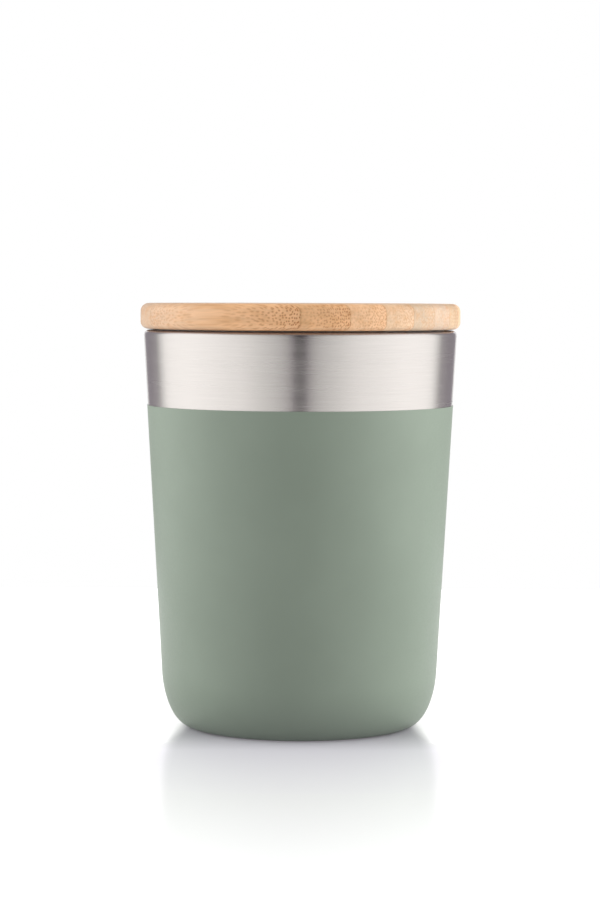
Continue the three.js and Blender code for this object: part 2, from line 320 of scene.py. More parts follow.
def inner_wall():
    """The lip, a straight land, a half cosine for the shoulder and then the slope, one sheet thick."""
    share = np.linspace(0, 1, 2 * ARC_POINTS)
    ease = (1 - np.cos(np.pi * share)) / 2
    step_in = MOUTH_RADIUS + (liner_radius(SHOULDER_BOTTOM) - MOUTH_RADIUS) * ease
    shoulder = np.stack([step_in, LAND_BOTTOM - SHOULDER * share], axis=1)
    weld = [[LIP_CENTRE + WELD_FLAT, CUP_HEIGHT]]
    lip = arc((LIP_CENTRE, RIM_FOOT), RIM_ROUND, 90, 180)
    joint = [[liner_radius(DISH_TOP + BOND), DISH_TOP + BOND]]
    return turned("inner_wall_liner", sheet(filled(np.concatenate([weld, lip, shoulder, joint])), SHEET))


def inner_bottom():
    """A flat dome, a cone down to the floor and a quarter circle up to the inner wall, one sheet thick."""
    dome = [
        [0, FLOOR_HEIGHT + FLOOR_DOME],
        [FLOOR_DOME_RADIUS, FLOOR_HEIGHT + FLOOR_DOME],
        [(FLOOR_DOME_RADIUS + FLOOR_RADIUS) / 2, FLOOR_HEIGHT],
    ]
    corner = arc((FLOOR_RADIUS, LINER_ROUND_TOP), INNER_ROUND, -90, 0)
    edge = [[liner_radius(DISH_TOP), DISH_TOP]]
    return turned("inner_bottom_dish", sheet(filled(np.concatenate([dome, corner, edge])), -SHEET))


def copper_foil():
    """Foil wrapped round the inner wall: it stands off by up to CRINKLE where it creases.

    The crease is (1 + the cosine of some sine waves' sum) / 2, with each wave running up and round the wall.
    """
    def crease(angle, height):
        level = height / CREASE
        swirl = sum(np.sin(count * angle + lean * level) for count, lean in FOIL_WAVES)
        return CRINKLE * (1 + np.cos(FOIL_FOLDS * swirl)) / 2

    ends = np.array([[liner_radius(level), level] for level in (FOIL_LOW.z, FOIL_HIGH.z)])
    inside = filled(offset(ends, -SHEET - BOND))
    return turned("copper_foil_wrap", sheet(inside, -FOIL), crease)


def closing_plate():
    """An upright skirt, a flat top and a cone up to the flat round the vent, one sheet thick."""
    skirt = PLATE_HIGH.x
    top = PLATE_HIGH.z - VENT_RISE
    upper = [
        [skirt, PLATE_LOW.z],
        [skirt, top],
        [VENT_CUP + VENT_RISE, top],
        [VENT_CUP, PLATE_HIGH.z],
        [VENT_RADIUS, PLATE_HIGH.z],
    ]
    return turned("closing_plate_cup", sheet(np.array(upper), SHEET))


def vent_seal():
    """Bead that sagged into the vent as it melted: a rounded button below and a stem above."""
    stem = VENT_RADIUS - BOND
    shoulder = PLATE_HIGH.z - SHEET - BOND
    outline = rounded([
        [0, SEAL_LOW.z, 0],
        [SEAL_HIGH.x / 2, SEAL_LOW.z, BEAD_ROUND],
        [SEAL_HIGH.x, shoulder, BEAD_SOFT],
        [stem, shoulder, 0],
        [stem, SEAL_HIGH.z, BEAD_SOFT],
        [0, SEAL_HIGH.z, 0],
    ])
    return turned("vent_seal_bead", outline)


def getter():
    """Pressed pellet: a short drum with soft edges, beside the mug's axis."""
    middle = (GETTER_LOW.x + GETTER_HIGH.x) / 2
    radius = GETTER_HIGH.x - middle
    outline = rounded([
        [0, GETTER_LOW.z, 0],
        [radius, GETTER_LOW.z, GETTER_SOFT],
        [radius, GETTER_HIGH.z, GETTER_SOFT],
        [0, GETTER_HIGH.z, 0],
    ])
    return turned("getter_pellet", outline, middle=middle)


def base_plate():
    """A flat recess, a cone down to the flat foot and a cone up to the heel, one sheet thick."""
    edge = BASE_HIGH.x
    foot_out = edge - FOOT_STEP
    foot_in = foot_out - FOOT_LAND
    recess = BASE_HIGH.z - SHEET
    under = [
        [0, recess],
        [foot_in - BASE_SLOPE, recess],
        [foot_in, 0],
        [foot_out, 0],
        [edge, HEEL_STAND],
    ]
    return turned("base_plate_foot", sheet(filled(np.array(under)), SHEET))


def bamboo_disc():
    """A round board with a flat socket for the plug below and a quarter circle along each edge."""
    low, high = LID_LOW[2], LID_HIGH[2]
    socket = PLUG_HIGH.x + SOCKET_PLAY
    outline = rounded([
        [0, low + SOCKET_DEPTH, 0],
        [socket, low + SOCKET_DEPTH, 0],
        [socket, low, 0],
        [LID_RADIUS, low, LID_UNDER_ROUND],
        [LID_RADIUS, high, LID_TOP_ROUND],
        [0, high, 0],
    ])
    return turned("bamboo_lid_disc", outline)


def lid_plug():
    """A straight-sided dish with a flange on top and a square groove for the gasket, its corners rounded."""
    side = MOUTH_RADIUS - 2 * PLUG_PLAY
    groove = side - GROOVE_DEPTH
    inside = groove - PLUG_WALL
    outline = rounded([
        [0, PLUG_LOW.z, 0],
        [side, PLUG_LOW.z, PLUG_HEEL],
        [side, GASKET_LOW.z - BOND, PLUG_SOFT],
        [groove, GASKET_LOW.z - BOND, 0],
        [groove, GASKET_HIGH.z + BOND, 0],
        [side, GASKET_HIGH.z + BOND, PLUG_SOFT],
        [side, LID_LOW[2] - PLUG_FLANGE, 0],
        [PLUG_HIGH.x, LID_LOW[2] - PLUG_FLANGE, PLUG_SOFT],
        [PLUG_HIGH.x, PLUG_HIGH.z, 0],
        [inside, PLUG_HIGH.z, 0],
        [inside, PLUG_LOW.z + PLUG_WALL, PLUG_SOFT],
        [0, PLUG_LOW.z + PLUG_WALL, 0],
    ])
    return turned("lid_plug_dish", outline)


def lid_gasket():
    """A flat-backed ring with two equal fins, each a wedge that rises toward its blunt tip."""
    tip, side = GASKET_HIGH.x, MOUTH_RADIUS - 2 * PLUG_PLAY
    back = side - GROOVE_DEPTH + BOND
    low, high = GASKET_LOW.z, GASKET_HIGH.z
    upper = high - FIN_ROOT - FIN_LIFT
    fins = [
        fin
        for foot in (low, upper)
        for fin in (
            [side, foot, FIN_SOFT],
            [tip, foot + FIN_LIFT, FIN_SOFT],
            [tip, foot + FIN_LIFT + FIN_POINT, FIN_SOFT],
            [side, foot + FIN_ROOT, FIN_ROOT_SOFT],
        )
    ]
    outline = rounded([[back, low, 0], *fins, [side, high, FIN_SOFT], [back, high, 0]])
    return turned("lid_gasket_ring", outline)


# Materials

# Where nearly all values of a noise texture lie, and those of two noises' sum
NOISE_LOW, NOISE_HIGH = 0.3, 0.7
PAIR_LOW, PAIR_HIGH = 0.7, 1.3


def linear(code):
    """An sRGB hex colour as linear RGBA, by the curve that sRGB is defined with."""
    srgb = np.array([int(code[i:i + 2], 16) for i in (0, 2, 4)]) / 255
    light = np.where(srgb <= 0.04045, srgb / 12.92, ((srgb + 0.055) / 1.055) ** 2.4)
    return (*light.tolist(), 1.0)


def add_node(tree, kind, sockets=(), stops=(), **settings):
    """Adds a node: settings are its properties, sockets its inputs, each a value or what links to it.

    stops are a colour ramp's, from low to high: each a position and a linear colour. A socket goes by its
    name or number. Map Range has its value at 0, the span that this comes from at 1 and 2, and the span
    that it goes to at 3 and 4. Mix has its share at 0, and two colours at 6 and 7 that it mixes to output 2.
    """
    node = tree.nodes.new("ShaderNode" + kind)
    for name, value in settings.items():
        setattr(node, name, value)
    for index, (position, colour) in enumerate(stops):
        elements = node.color_ramp.elements
        element = elements[index] if index < 2 else elements.new(position)
        element.position = position
        element.color = colour
    for key, value in dict(sockets).items():
        if isinstance(value, bpy.types.Node):
            value = value.outputs[0]
        if isinstance(value, bpy.types.NodeSocket):
            tree.links.new(value, node.inputs[key])
        else:
            node.inputs[key].default_value = value
    return node


def new_material(name, **sockets):
    """A material with one Principled shader, whose sockets are named with _ for each space."""
    material = bpy.data.materials.new(name)
    material.use_nodes = True
    tree = material.node_tree
    tree.nodes.clear()
    values = {key.replace("_", " "): value for key, value in sockets.items()}
    shader = add_node(tree, "BsdfPrincipled", values)
    add_node(tree, "OutputMaterial", {"Surface": shader})
    return material, tree, shader


def join(tree, shader, **sockets):
    """Links nodes to the shader's sockets, which are named with _ for each space."""
    for name, source in sockets.items():
        output = source.outputs[0] if isinstance(source, bpy.types.Node) else source
        tree.links.new(output, shader.inputs[name.replace("_", " ")])


def brushed_steel():
    """Stainless steel, belt-brushed round the axis: level scratches spread each light up and down."""
    material, tree, shader = new_material(
        "brushed_stainless_steel",
        Metallic=1.0,
        Anisotropic=0.88,
        Anisotropic_Rotation=0.25,
    )
    place = add_node(tree, "TexCoord").outputs["Object"]
    # Scratches of a 180-grit belt lie under 0.1 mm apart, and are drawn coarser so that they show
    long, apart = 14 * MM, 0.18 * MM
    stretched = add_node(tree, "Mapping", {"Vector": place, "Scale": (1 / long, 1 / long, 1 / apart)})
    scratches = add_node(
        tree, "TexNoise", {"Vector": stretched, "Scale": 1.0, "Detail": 4.0, "Roughness": 0.6}
    )
    # Wider strokes lie where the belt pressed harder
    band, wide = 70 * MM, 1.8 * MM
    broad = add_node(tree, "Mapping", {"Vector": place, "Scale": (1 / band, 1 / band, 1 / wide)})
    strokes = add_node(tree, "TexNoise", {"Vector": broad, "Scale": 1.0, "Detail": 2.0})
    worn = add_node(tree, "Math", {0: scratches, 1: strokes})
    tones = ((NOISE_LOW, linear("cbc6c2")), (0.65, linear("d0cbc7")))
    bare = add_node(tree, "ValToRGB", {"Fac": scratches}, tones)
    # The rim's roll is mixed toward a darker violet grey: painted shade of the dark gap under the lid
    height = add_node(tree, "SeparateXYZ", {0: place}).outputs["Z"]
    rim_shade_foot, rim_shade_share = RIM_FOOT + RIM_ROUND / 4, 0.55
    roll = add_node(tree, "MapRange", {0: height, 1: rim_shade_foot, 2: CUP_HEIGHT, 4: rim_shade_share})
    colour = add_node(tree, "Mix", {0: roll, 6: bare, 7: linear("95869a")}, data_type="RGBA").outputs[2]
    rough = add_node(tree, "MapRange", {0: worn, 1: PAIR_LOW, 2: PAIR_HIGH, 3: 0.22, 4: 0.28})
    tangent = add_node(tree, "Tangent", direction_type="RADIAL", axis="Z")
    bump = add_node(tree, "Bump", {"Height": scratches, "Strength": 0.17, "Distance": 0.008 * MM})
    join(tree, shader, Base_Color=colour, Roughness=rough, Tangent=tangent, Normal=bump)
    return material


def satin_steel():
    """Stainless steel, spun and electropolished: a soft grey gloss with fine rings from the spinning."""
    material, tree, shader = new_material(
        "satin_stainless_steel",
        Metallic=1.0,
        Anisotropic=0.4,
        Anisotropic_Rotation=0.25,
    )
    place = add_node(tree, "TexCoord").outputs["Object"]
    flat = add_node(tree, "VectorMath", {0: place, 1: (1, 1, 0)}, operation="MULTIPLY")
    reach = add_node(tree, "VectorMath", {0: flat}, operation="LENGTH").outputs["Value"]
    height = add_node(tree, "SeparateXYZ", {0: place}).outputs["Z"]
    # The tool's feed leaves rings about 0.4 mm apart, both over the floor and up the wall
    feed, blotch_size = 0.4 * MM, 14 * MM
    step = add_node(tree, "Math", {0: reach, 1: height})
    rings = add_node(tree, "TexNoise", {"W": step, "Scale": 1 / feed, "Detail": 3.0}, noise_dimensions="1D")
    blotch = add_node(tree, "TexNoise", {"Vector": place, "Scale": 1 / blotch_size, "Detail": 2.0})
    mixed = add_node(tree, "Math", {0: rings, 1: blotch})
    rough = add_node(tree, "MapRange", {0: mixed, 1: PAIR_LOW, 2: PAIR_HIGH, 3: 0.24, 4: 0.4})
    tones = ((NOISE_LOW, linear("c0bcb9")), (NOISE_HIGH, linear("cfccc9")))
    colour = add_node(tree, "ValToRGB", {"Fac": rings}, tones)
    tangent = add_node(tree, "Tangent", direction_type="RADIAL", axis="Z")
    bump = add_node(tree, "Bump", {"Height": rings, "Strength": 0.3, "Distance": 0.02 * MM})
    join(tree, shader, Base_Color=colour, Roughness=rough, Tangent=tangent, Normal=bump)
    return material


def sage_powder_coat():
    """Polyester powder coat, sprayed and baked: matte, with a fine orange-peel skin and faint clouding."""
    material, tree, shader = new_material("sage_polyester_powder_coat", IOR=1.5)
    place = add_node(tree, "TexCoord").outputs["Object"]
    peel_size, cloud_size = 0.7 * MM, 25 * MM
    peel = add_node(tree, "TexNoise", {"Vector": place, "Scale": 1 / peel_size, "Detail": 2.0})
    cloud = add_node(tree, "TexNoise", {"Vector": place, "Scale": 1 / cloud_size, "Detail": 3.0})
    tones = ((NOISE_LOW, linear("8a9788")), (NOISE_HIGH, linear("909d8e")))
    colour = add_node(tree, "ValToRGB", {"Fac": cloud}, tones)
    rough = add_node(tree, "MapRange", {0: peel, 1: NOISE_LOW, 2: NOISE_HIGH, 3: 0.38, 4: 0.48})
    bump = add_node(tree, "Bump", {"Height": peel, "Strength": 0.35, "Distance": 0.02 * MM})
    join(tree, shader, Base_Color=colour, Roughness=rough, Normal=bump)
    return material


def along_grain(tree, place, across, along, detail):
    """Noise drawn out along the grain: this wide across it and this long along it, both in millimetres."""
    drawn = add_node(tree, "Mapping", {"Vector": place, "Scale": (1 / across, 1 / along, 1 / across)})
    return add_node(tree, "TexNoise", {"Vector": drawn, "Scale": 1.0, "Detail": detail})


def bamboo():
    """Bamboo strips glued side by side, turned, sanded and oiled.

    Fibre bundles run along each strip. They show as dark dots where the rim cuts across them and as fine
    streaks on the top, and they crowd together toward the edge that was the outside of the cane.
    """
    material, tree, shader = new_material("oiled_bamboo", IOR=1.5)
    place = add_node(tree, "TexCoord").outputs["Object"]
    turn = (0, 0, -GRAIN_ANGLE)
    # The grain's own axes, in millimetres: X across the strips, Y along them and Z up
    grain = add_node(tree, "Mapping", {"Vector": place, "Rotation": turn, "Scale": (1 / MM, 1 / MM, 1 / MM)})
    # The fibres stray from their straight line by up to half of this
    stray = 0.9
    bend = along_grain(tree, grain, across=5, along=30, detail=1.0).outputs["Color"]
    shift = add_node(tree, "VectorMath", {0: bend, 1: (0.5, 0.5, 0.5)}, operation="SUBTRACT")
    strayed = add_node(
        tree, "VectorMath", {0: shift, 1: (stray, 0.0, stray), 2: grain}, operation="MULTIPLY_ADD"
    )
    axes = add_node(tree, "SeparateXYZ", {0: grain})
    fibre = add_node(tree, "SeparateXYZ", {0: strayed})

    # Which strip a point lies in, from -1 before the first joint, and how far across it
    first, pitch = FIRST_JOINT / MM, STRIP_PITCH / MM
    counted = add_node(tree, "MapRange", {0: axes.outputs["X"], 1: first, 2: first + pitch}, clamp=False)
    strip = add_node(tree, "Math", {0: counted}, operation="FLOOR")
    share = add_node(tree, "Math", {0: counted}, operation="FRACT")
    chance = add_node(tree, "TexWhiteNoise", {"W": strip}, noise_dimensions="1D")
    before = -1.5
    choice = add_node(tree, "MapRange", {0: strip, 1: before, 2: before + len(STRIPS)})
    tones = [
        (index / len(STRIP_TONES), (*linear(code)[:3], darkness))
        for index, (code, darkness) in enumerate(STRIP_TONES)
    ]
    tone = add_node(tree, "ValToRGB", {"Fac": choice}, tones)
    tone.color_ramp.interpolation = "CONSTANT"

    # Fibre bundles: cells about 0.8 mm apart at the inside of the cane and 0.3 mm at its outside
    crowding, loose = 0.55, 0.7
    cell_across, cell_up = 0.54, 0.85
    core, rim = 0.14, 0.42
    # Each strip takes its cells from another part of the pattern, up to this many cells away
    apart = (40, 40, 40)
    wandering = add_node(tree, "MapRange", {0: fibre.outputs["X"], 1: first, 2: first + pitch}, clamp=False)
    across = add_node(tree, "Math", {0: wandering, 1: strip}, operation="SUBTRACT")
    packed = add_node(tree, "Math", {0: across, 1: crowding, 2: loose}, operation="MULTIPLY_ADD")
    crowd = add_node(tree, "Math", {0: across, 1: packed}, operation="MULTIPLY")
    section = add_node(tree, "CombineXYZ", {"X": crowd, "Y": fibre.outputs["Z"]})
    spaced = add_node(tree, "Mapping", {"Vector": section, "Scale": (pitch / cell_across, 1 / cell_up, 1)})
    dealt = add_node(
        tree, "VectorMath", {0: chance.outputs["Color"], 1: apart, 2: spaced}, operation="MULTIPLY_ADD"
    )
    cells = add_node(
        tree, "TexVoronoi", {"Vector": dealt, "Scale": 1.0, "Randomness": 0.7}, voronoi_dimensions="2D"
    )
    dot = add_node(
        tree,
        "MapRange",
        {0: cells.outputs["Distance"], 1: core, 2: rim, 3: 1.0, 4: 0.0},
        interpolation_type="SMOOTHSTEP",
    )
    # They are darker toward the cane's outside, and fainter from the lid's front to its back
    pith, pith_dark = 0.1, 0.2
    front, back, back_dark = -25.0, 25.0, 0.45
    deep = add_node(tree, "MapRange", {0: share, 1: pith, 2: 1.0, 3: pith_dark, 4: 1.0})
    thin = add_node(tree, "MapRange", {0: axes.outputs["Y"], 1: front, 2: back, 3: 1.0, 4: back_dark})
    ripe = add_node(tree, "Math", {0: tone.outputs["Alpha"], 1: thin}, operation="MULTIPLY")
    dark = add_node(tree, "Math", {0: deep, 1: ripe}, operation="MULTIPLY")
    bundle = add_node(tree, "Math", {0: dot, 1: dark}, operation="MULTIPLY")

    # Softer fibre between the bundles, broad drifts of tone, sap stains and wood that turns paler and greyer
    # toward the back
    darkest, lightest = 0.84, 1.08
    greying_foot, greying_top, greying_share = -5.0, 35.0, 0.75
    sap_low, sap_high, sap_share = 0.45, 0.7, 0.4
    threads = along_grain(tree, strayed, across=0.45, along=14, detail=2.0)
    drift = along_grain(tree, grain, across=4, along=26, detail=2.0)
    mixed = add_node(tree, "Math", {0: threads, 1: drift})
    shade = add_node(tree, "MapRange", {0: mixed, 1: 0.65, 2: 1.35, 3: darkest, 4: lightest})
    greying = add_node(
        tree, "MapRange", {0: axes.outputs["Y"], 1: greying_foot, 2: greying_top, 3: 0.0, 4: greying_share}
    )
    greyed = add_node(tree, "Mix", {0: greying, 6: tone, 7: linear("c0b2a2")}, data_type="RGBA")
    stains = along_grain(tree, strayed, across=1.7, along=12, detail=3.0)
    sap = add_node(tree, "MapRange", {0: stains, 1: sap_low, 2: sap_high, 3: 0.0, 4: sap_share})
    warmed = add_node(tree, "Mix", {0: sap, 6: greyed.outputs[2], 7: linear("d49c66")}, data_type="RGBA")
    body = add_node(tree, "HueSaturation", {"Color": warmed.outputs[2], "Value": shade})

    # The knuckle that crosses some strips, and the glue between them
    cane, knuckle_core, knuckle_edge, knuckle_share = 90.0, 0.4, 2.2, 0.45
    glue_line, glue_share = 0.2, 0.4
    spot = add_node(tree, "MapRange", {0: chance.outputs["Value"], 3: -cane, 4: cane})
    past = add_node(tree, "Math", {0: axes.outputs["Y"], 1: spot}, operation="SUBTRACT")
    off = add_node(tree, "Math", {0: past}, operation="ABSOLUTE")
    knuckle = add_node(
        tree,
        "MapRange",
        {0: off, 1: knuckle_core, 2: knuckle_edge, 3: knuckle_share, 4: 0.0},
        interpolation_type="SMOOTHSTEP",
    )
    edge = add_node(tree, "Math", {0: share, 1: 0.5}, operation="SUBTRACT")
    side = add_node(tree, "Math", {0: edge}, operation="ABSOLUTE")
    glue = add_node(tree, "MapRange", {0: side, 1: 0.5 - glue_line / pitch, 2: 0.5, 3: 0.0, 4: glue_share})
    marks = add_node(tree, "Math", {0: knuckle, 1: glue}, operation="MAXIMUM")
    marked = add_node(tree, "Mix", {0: marks, 6: body, 7: linear("a9733f")}, data_type="RGBA")
    colour = add_node(tree, "Mix", {0: bundle, 6: marked.outputs[2], 7: linear("a85a14")}, data_type="RGBA")

    rough = add_node(tree, "MapRange", {0: threads, 1: NOISE_LOW, 2: NOISE_HIGH, 3: 0.42, 4: 0.58})
    # The sanded bundles lie a little below the softer fibre
    sunk = -0.25
    raised = add_node(tree, "Math", {0: bundle, 1: sunk, 2: threads}, operation="MULTIPLY_ADD")
    bump = add_node(tree, "Bump", {"Height": raised, "Strength": 0.4, "Distance": 0.04 * MM})
    join(tree, shader, Base_Color=colour.outputs[2], Roughness=rough, Normal=bump)
    return material


def polypropylene():
    """Polypropylene, injection moulded: pale and waxy, with the fine spark texture of its mould."""
    material, tree, shader = new_material(
        "moulded_polypropylene",
        IOR=1.49,
        Subsurface_Weight=0.15,
        Subsurface_Radius=(1.2 * MM, 1.2 * MM, 1.1 * MM),
        Subsurface_Scale=1.0,
    )
    place = add_node(tree, "TexCoord").outputs["Object"]
    spark_size, flow_size = 0.25 * MM, 18 * MM
    spark = add_node(tree, "TexNoise", {"Vector": place, "Scale": 1 / spark_size, "Detail": 2.0})
    flow = add_node(tree, "TexNoise", {"Vector": place, "Scale": 1 / flow_size, "Detail": 2.0})
    tones = ((NOISE_LOW, linear("bfb9b2")), (NOISE_HIGH, linear("c6c0b9")))
    colour = add_node(tree, "ValToRGB", {"Fac": flow}, tones)
    rough = add_node(tree, "MapRange", {0: spark, 1: NOISE_LOW, 2: NOISE_HIGH, 3: 0.36, 4: 0.5})
    bump = add_node(tree, "Bump", {"Height": spark, "Strength": 0.25, "Distance": 0.015 * MM})
    join(tree, shader, Base_Color=colour, Roughness=rough, Normal=bump)
    return material


def silicone():
    """Silicone rubber, moulded: milky, soft-lit through its thickness and slightly dusty."""
    material, tree, shader = new_material(
        "moulded_silicone",
        IOR=1.41,
        Subsurface_Weight=0.4,
        Subsurface_Radius=(1.0 * MM, 1.0 * MM, 1.0 * MM),
        Subsurface_Scale=1.0,
    )
    place = add_node(tree, "TexCoord").outputs["Object"]
    dust_size, haze_size = 0.6 * MM, 9 * MM
    dust = add_node(tree, "TexNoise", {"Vector": place, "Scale": 1 / dust_size, "Detail": 3.0})
    haze = add_node(tree, "TexNoise", {"Vector": place, "Scale": 1 / haze_size, "Detail": 2.0})
    tones = ((NOISE_LOW, linear("cfcdc9")), (NOISE_HIGH, linear("d7d5d1")))
    colour = add_node(tree, "ValToRGB", {"Fac": haze}, tones)
    rough = add_node(tree, "MapRange", {0: dust, 1: NOISE_LOW, 2: NOISE_HIGH, 3: 0.42, 4: 0.58})
    bump = add_node(tree, "Bump", {"Height": dust, "Strength": 0.2, "Distance": 0.02 * MM})
    join(tree, shader, Base_Color=colour, Roughness=rough, Normal=bump)
    return material


def copper():
    """Copper foil, rolled thin: warm and bright, dulled a little where it was handled."""
    material, tree, shader = new_material("rolled_copper_foil", Metallic=1.0)
    place = add_node(tree, "TexCoord").outputs["Object"]
    touch_size = 6 * MM
    dull = add_node(tree, "TexNoise", {"Vector": place, "Scale": 1 / touch_size, "Detail": 3.0})
    tones = ((NOISE_LOW, linear("b8744f")), (NOISE_HIGH, linear("d08c66")))
    colour = add_node(tree, "ValToRGB", {"Fac": dull}, tones)
    rough = add_node(tree, "MapRange", {0: dull, 1: NOISE_LOW, 2: NOISE_HIGH, 3: 0.42, 4: 0.22})
    join(tree, shader, Base_Color=colour, Roughness=rough)
    return material


def solder_glass():
    """Solder glass, melted in the furnace: dark and glossy, with fine bubbles near its skin."""
    material, tree, shader = new_material("fired_solder_glass", IOR=1.6, Roughness=0.12)
    place = add_node(tree, "TexCoord").outputs["Object"]
    bubble_size, core, wall = 0.4 * MM, 0.1, 0.3
    bubbles = add_node(tree, "TexVoronoi", {"Vector": place, "Scale": 1 / bubble_size})
    tones = ((core, linear("5c6c6e")), (wall, linear("38464a")))
    colour = add_node(tree, "ValToRGB", {"Fac": bubbles}, tones)
    bump = add_node(tree, "Bump", {"Height": bubbles, "Strength": 0.2, "Distance": 0.05 * MM})
    join(tree, shader, Base_Color=colour, Normal=bump)
    return material


def getter_alloy():
    """Zirconium alloy powder, pressed and sintered: dull, dark and granular."""
    material, tree, shader = new_material("sintered_zirconium_alloy", Metallic=0.7)
    place = add_node(tree, "TexCoord").outputs["Object"]
    grain_size = 0.15 * MM
    grains = add_node(tree, "TexNoise", {"Vector": place, "Scale": 1 / grain_size, "Detail": 2.0})
    tones = ((0.35, linear("3f3e3a")), (0.65, linear("6a6862")))
    colour = add_node(tree, "ValToRGB", {"Fac": grains}, tones)
    rough = add_node(tree, "MapRange", {0: grains, 1: NOISE_LOW, 2: NOISE_HIGH, 3: 0.9, 4: 0.65})
    bump = add_node(tree, "Bump", {"Height": grains, "Strength": 0.5, "Distance": 0.05 * MM})
    join(tree, shader, Base_Color=colour, Roughness=rough, Normal=bump)
    return material


# Stage

def add_camera():
    """The photograph's camera: level with the lid, dipped and rolled by the fitted angles."""
    data = bpy.data.cameras.new("camera")
    data.lens = CAMERA_LENS
    data.sensor_width = CAMERA_SENSOR
    camera = bpy.data.objects.new("camera", data)
    tilt = Matrix.Rotation(math.pi / 2 - CAMERA_DIP, 4, "X") @ Matrix.Rotation(CAMERA_ROLL, 4, "Z")
    camera.matrix_world = Matrix.Translation(CAMERA_PLACE) @ tilt
    bpy.context.scene.collection.objects.link(camera)
    bpy.context.scene.camera = camera


def seen_directly(tree):
    """1 for rays from the camera, a mirror or glass, and 0 for rays that only light other surfaces."""
    path = add_node(tree, "LightPath")
    mirrored = add_node(tree, "Math", {0: path.outputs["Is Camera Ray"], 1: path.outputs["Is Glossy Ray"]})
    return add_node(tree, "Math", {0: mirrored, 1: path.outputs["Is Transmission Ray"]}, use_clamp=True)


def add_world():
    """White behind everything, darker overhead in mirrors, and dim for the light that falls on the mug."""
    dim, ceiling_foot, ceiling_top = 0.2, 0.3, 0.6
    world = bpy.data.worlds.new("studio")
    world.use_nodes = True
    tree = world.node_tree
    tree.nodes.clear()
    toward = add_node(tree, "SeparateXYZ", {0: add_node(tree, "TexCoord").outputs["Generated"]})
    ceiling = add_node(
        tree, "MapRange", {0: toward.outputs["Z"], 1: ceiling_foot, 2: ceiling_top, 3: 1.0, 4: dim}
    )
    mirrored = add_node(tree, "Mix", {0: seen_directly(tree), 2: dim, 3: ceiling})
    camera_ray = add_node(tree, "LightPath").outputs["Is Camera Ray"]
    strength = add_node(tree, "Mix", {0: camera_ray, 2: mirrored, 3: 1.0})
    back = add_node(tree, "Background", {"Color": (1, 1, 1, 1), "Strength": strength})
    add_node(tree, "OutputWorld", {"Surface": back})
    bpy.context.scene.world = world


def add_floor():
    """White board: it keeps the mug's contact shadow and a faint mirror image.

    Where it is seen directly it glows, more with the distance from the mug, so that it is white all round.
    On the mirror image's lane in front of the mug the glow is dim close to the heel and tinted cool, so that
    shadow and a cool reflection are painted there over the board's own. Beside and behind it is brighter.
    """
    half = 0.3
    near, far, tint_end = FOOT_RADIUS, 5 * FOOT_RADIUS, 3 * FOOT_RADIUS
    lighting_white, seen_white = 0.55, 0.85
    near_glow, far_glow, beside_glow, contact_share = 0.26, 0.62, 0.2, 0.28
    # The cool tint of the painted reflection near the mug
    painted_reflection_tint, no_tint = (0.99, 0.96, 1.04, 1), (1, 1, 1, 1)
    # The painted image's half width, the outside of its edge near the mug and far off, and its step in at the
    # heel
    image_half, near_edge, far_edge, step_in = 30.5 * MM, 34 * MM, 60 * MM, 2.8 * MM
    # Spans along Y in which the painted image steps in, its edge sharpens, the board beside it brightens, the
    # image ends below the mug, and the painted contact shadow deepens
    stepping = (-28 * MM, -5 * MM)
    sharpening = (-80 * MM, -30 * MM)
    brightening = (-80 * MM, -36 * MM)
    ending = (-10 * MM, -2 * MM)
    deepening = (-41 * MM, -20 * MM)

    corners = [(-half, -half, 0), (half, -half, 0), (half, half, 0), (-half, half, 0)]
    floor = new_object("floor", corners, [[0, 1, 2, 3]])
    material, tree, shader = new_material("white_board", Roughness=0.2, IOR=1.5)
    seen = seen_directly(tree)
    white = add_node(tree, "MapRange", {0: seen, 3: lighting_white, 4: seen_white})
    place = add_node(tree, "TexCoord").outputs["Object"]
    away = add_node(tree, "VectorMath", {0: place}, operation="LENGTH").outputs["Value"]
    glow = add_node(tree, "MapRange", {0: away, 1: near, 2: far, 3: near_glow, 4: far_glow})

    # How far a point lies outside the painted mirror image: 0 on it, and 1 beside or behind it
    axes = add_node(tree, "SeparateXYZ", {0: place})
    depth = axes.outputs["Y"]
    across = add_node(tree, "Math", {0: axes.outputs["X"]}, operation="ABSOLUTE")
    bend = add_node(tree, "MapRange", {0: depth, 1: stepping[0], 2: stepping[1], 4: step_in})
    outward = add_node(tree, "Math", {0: across, 1: bend}, operation="ADD")
    edge = add_node(
        tree, "MapRange", {0: depth, 1: sharpening[0], 2: sharpening[1], 3: far_edge, 4: near_edge}
    )
    wing = add_node(tree, "MapRange", {0: outward, 1: image_half, 2: edge})
    reach = add_node(tree, "MapRange", {0: depth, 1: brightening[0], 2: brightening[1]})
    sides = add_node(tree, "Math", {0: wing, 1: reach}, operation="MULTIPLY")
    back = add_node(tree, "MapRange", {0: depth, 1: ending[0], 2: ending[1]})
    beside = add_node(tree, "Math", {0: sides, 1: back}, operation="MAXIMUM")

    # The glow is cut further close to the heel: a painted contact shadow
    contact = add_node(
        tree, "MapRange", {0: depth, 1: deepening[0], 2: deepening[1], 3: 1.0, 4: contact_share}
    )
    clear = add_node(tree, "Math", {0: contact, 1: beside}, operation="MAXIMUM")
    dimmed = add_node(tree, "Math", {0: glow, 1: clear}, operation="MULTIPLY")
    brighter = add_node(tree, "Math", {0: beside, 1: beside_glow, 2: dimmed}, operation="MULTIPLY_ADD")
    lift = add_node(tree, "Math", {0: brighter, 1: seen}, operation="MULTIPLY")
    fade = add_node(tree, "MapRange", {0: away, 1: near, 2: tint_end})
    plain = add_node(tree, "Math", {0: beside, 1: fade}, operation="MAXIMUM")
    cool = add_node(tree, "Mix", {0: plain, 6: painted_reflection_tint, 7: no_tint}, data_type="RGBA").outputs[2]
    cool_white = add_node(tree, "VectorMath", {0: cool, "Scale": white}, operation="SCALE")
    join(tree, shader, Base_Color=cool_white, Emission_Color=cool, Emission_Strength=lift)
    floor.data.materials.append(material)
    return floor


